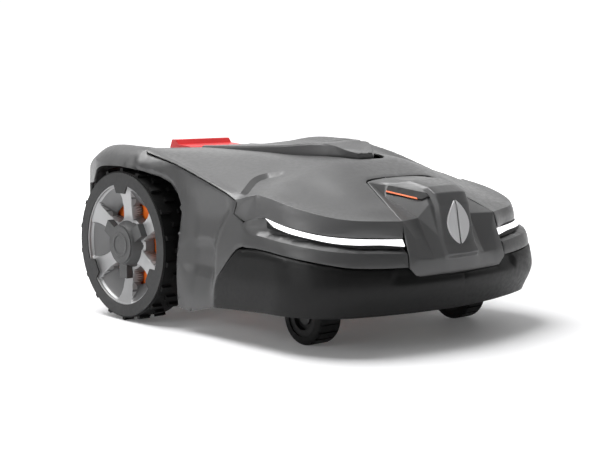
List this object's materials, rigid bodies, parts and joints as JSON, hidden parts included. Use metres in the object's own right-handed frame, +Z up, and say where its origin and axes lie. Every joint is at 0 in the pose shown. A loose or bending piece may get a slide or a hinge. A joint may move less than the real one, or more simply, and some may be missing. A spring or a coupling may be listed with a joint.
{
  "type": "robotic lawn mower",
  "caption": "Low robotic lawn mower: floating grey shell, big cleated drive wheels, swivelling front casters, cutting disc with pivoting blades, hinged hatch over a keypad, red stop bar.",
  "frame": {"origin": "on the ground plane under the middle of the machine's length and width", "axes": "-Y is the front of the mower, +Y its rear, -X its right side, +Z up; it stands on its wheels at z = 0"},
  "size_m": [0.447, 0.608, 0.244],
  "materials": {
    "body_plastic": "satin, finely textured",
    "nose_plastic": "satin silver",
    "bumper_plastic": "matte, soft",
    "orange_plastic": "satin",
    "lens": "clear, frosted at the back",
    "reflector": "bright",
    "chassis_plastic": "matte",
    "seal": "matte",
    "battery": "matte",
    "board": "satin",
    "motor_metal": "satin",
    "contact_brass": "satin",
    "steel": "satin",
    "display_glass": "gloss",
    "hatch_plastic": "satin",
    "stop_red": "satin",
    "key_plastic": "satin",
    "disc_plastic": "satin",
    "wheel_rubber": "matte",
    "rim_silver": "satin silver paint",
    "wheel_trim_plastic": "satin",
    "caster_plastic": "matte"
  },
  "bodies": {
    "chassis": {"chassis_tub": "chassis_plastic", "chassis_gasket": "seal", "chassis_lid": "chassis_plastic", "console_tower": "chassis_plastic", "battery_pack": "battery", "main_board": "board", "drive_motor_left": "motor_metal", "drive_motor_right": "motor_metal", "charging_contacts": "contact_brass", "suspension_columns": "chassis_plastic", "chassis_screws": "steel", "height_motor": "motor_metal", "console_housing": "chassis_plastic", "display": "display_glass"},
    "float_lower": {"float_pucks_lower": "seal"},
    "float_upper": {"float_pucks_upper": "seal"},
    "shell": {"body_shell": "body_plastic", "top_cover": "body_plastic", "front_bumper": "bumper_plastic", "headlight_lenses": "lens", "headlight_reflectors": "reflector", "nose_badge": "nose_plastic", "nose_vents": "bumper_plastic", "nose_vent_strips": "orange_plastic"},
    "hatch": {"hatch": "hatch_plastic"},
    "stop_button": {"stop_button": "stop_red"},
    "jog_wheel": {"jog_wheel": "key_plastic"},
    "start_button": {"start_button": "key_plastic"},
    "park_button": {"park_button": "key_plastic"},
    "cutting_unit": {"cutting_carriage": "chassis_plastic", "cutting_motor": "motor_metal"},
    "height_screw": {"height_screw": "steel"},
    "cutting_disc": {"cutting_disc": "disc_plastic", "blade_screws": "steel"},
    "blade_1": {"blade_1": "steel"},
    "blade_2": {"blade_2": "steel"},
    "blade_3": {"blade_3": "steel"},
    "skid_plate": {"skid_plate": "chassis_plastic"},
    "drive_wheel_left": {"wheel_tyre_left": "wheel_rubber", "wheel_rim_left": "rim_silver", "wheel_trim_left": "wheel_trim_plastic", "wheel_cap_left": "wheel_trim_plastic", "wheel_disc_left": "orange_plastic", "drive_shaft_left": "steel"},
    "caster_swivel_left": {"caster_fork_left": "caster_plastic", "caster_axle_left": "steel"},
    "caster_wheel_left": {"caster_tyre_left": "wheel_rubber", "caster_hub_left": "caster_plastic"},
    "drive_wheel_right": {"wheel_tyre_right": "wheel_rubber", "wheel_rim_right": "rim_silver", "wheel_trim_right": "wheel_trim_plastic", "wheel_cap_right": "wheel_trim_plastic", "wheel_disc_right": "orange_plastic", "drive_shaft_right": "steel"},
    "caster_swivel_right": {"caster_fork_right": "caster_plastic", "caster_axle_right": "steel"},
    "caster_wheel_right": {"caster_tyre_right": "wheel_rubber", "caster_hub_right": "caster_plastic"}
  },
  "joints": [
    {"name": "drive_wheel_left_spin", "type": "hinge", "parent": "chassis", "child": "drive_wheel_left", "pos_m": [0.2, 0.119, 0.104], "axis": [1, 0, 0], "continuous": true},
    {"name": "caster_left_swivel", "type": "hinge", "parent": "chassis", "child": "caster_swivel_left", "pos_m": [0.137, -0.196, 0.115], "axis": [0, 0, 1], "continuous": true},
    {"name": "caster_left_roll", "type": "hinge", "parent": "caster_swivel_left", "child": "caster_wheel_left", "pos_m": [0.137, -0.174, 0.035], "axis": [1, 0, 0], "continuous": true},
    {"name": "drive_wheel_right_spin", "type": "hinge", "parent": "chassis", "child": "drive_wheel_right", "pos_m": [-0.2, 0.119, 0.104], "axis": [1, 0, 0], "continuous": true},
    {"name": "caster_right_swivel", "type": "hinge", "parent": "chassis", "child": "caster_swivel_right", "pos_m": [-0.137, -0.196, 0.115], "axis": [0, 0, 1], "continuous": true},
    {"name": "caster_right_roll", "type": "hinge", "parent": "caster_swivel_right", "child": "caster_wheel_right", "pos_m": [-0.137, -0.174, 0.035], "axis": [1, 0, 0], "continuous": true},
    {"name": "shell_float_length", "type": "slide", "parent": "chassis", "child": "float_lower", "axis": [0, 1, 0], "range_m": [-0.003, 0.003], "stiffness_N_per_m": 3000},
    {"name": "shell_float_cross", "type": "slide", "parent": "float_lower", "child": "float_upper", "axis": [1, 0, 0], "range_m": [-0.0025, 0.0025], "stiffness_N_per_m": 3000},
    {"name": "shell_lift", "type": "slide", "parent": "float_upper", "child": "shell", "axis": [0, 0, 1], "range_m": [0, 0.005]},
    {"name": "cutting_height", "type": "slide", "parent": "chassis", "child": "cutting_unit", "axis": [0, 0, 1], "range_m": [-0.03, 0]},
    {"name": "height_screw_turn", "type": "hinge", "parent": "chassis", "child": "height_screw", "pos_m": [0, -0.066, 0.11], "axis": [0, 0, 1], "range_deg": [0, 2160]},
    {"name": "disc_spin", "type": "hinge", "parent": "cutting_unit", "child": "cutting_disc", "pos_m": [0, -0.01, 0.055], "axis": [0, 0, 1], "continuous": true},
    {"name": "blade_1_pivot", "type": "hinge", "parent": "cutting_disc", "child": "blade_1", "pos_m": [0, 0.074, 0.05], "axis": [0, 0, 1], "continuous": true},
    {"name": "blade_2_pivot", "type": "hinge", "parent": "cutting_disc", "child": "blade_2", "pos_m": [-0.07275, -0.052, 0.05], "axis": [0, 0, 1], "continuous": true},
    {"name": "blade_3_pivot", "type": "hinge", "parent": "cutting_disc", "child": "blade_3", "pos_m": [0.07275, -0.052, 0.05], "axis": [0, 0, 1], "continuous": true},
    {"name": "skid_plate_spin", "type": "hinge", "parent": "cutting_disc", "child": "skid_plate", "pos_m": [0, -0.01, 0.045], "axis": [0, 0, 1], "continuous": true},
    {"name": "hatch_hinge", "type": "hinge", "parent": "chassis", "child": "hatch", "pos_m": [0, -0.098, 0.223], "axis": [1, 0, 0], "range_deg": [0, 50]},
    {"name": "stop_button_press", "type": "slide", "parent": "chassis", "child": "stop_button", "axis": [0, 0, -1], "range_m": [0, 0.004], "stiffness_N_per_m": 2500, "springref_m": -0.002},
    {"name": "jog_wheel_turn", "type": "hinge", "parent": "chassis", "child": "jog_wheel", "pos_m": [0, 0.074, 0.214], "axis": [0, 0, 1], "continuous": true},
    {"name": "start_button_press", "type": "slide", "parent": "chassis", "child": "start_button", "axis": [0, 0, -1], "range_m": [0, 0.0015], "stiffness_N_per_m": 600, "springref_m": -0.001},
    {"name": "park_button_press", "type": "slide", "parent": "chassis", "child": "park_button", "axis": [0, 0, -1], "range_m": [0, 0.0015], "stiffness_N_per_m": 600, "springref_m": -0.001}
  ],
  "couplings": [
    {"joint": "height_screw_turn", "follows": "cutting_height", "rad_per_m": -1256.6}
  ]
}
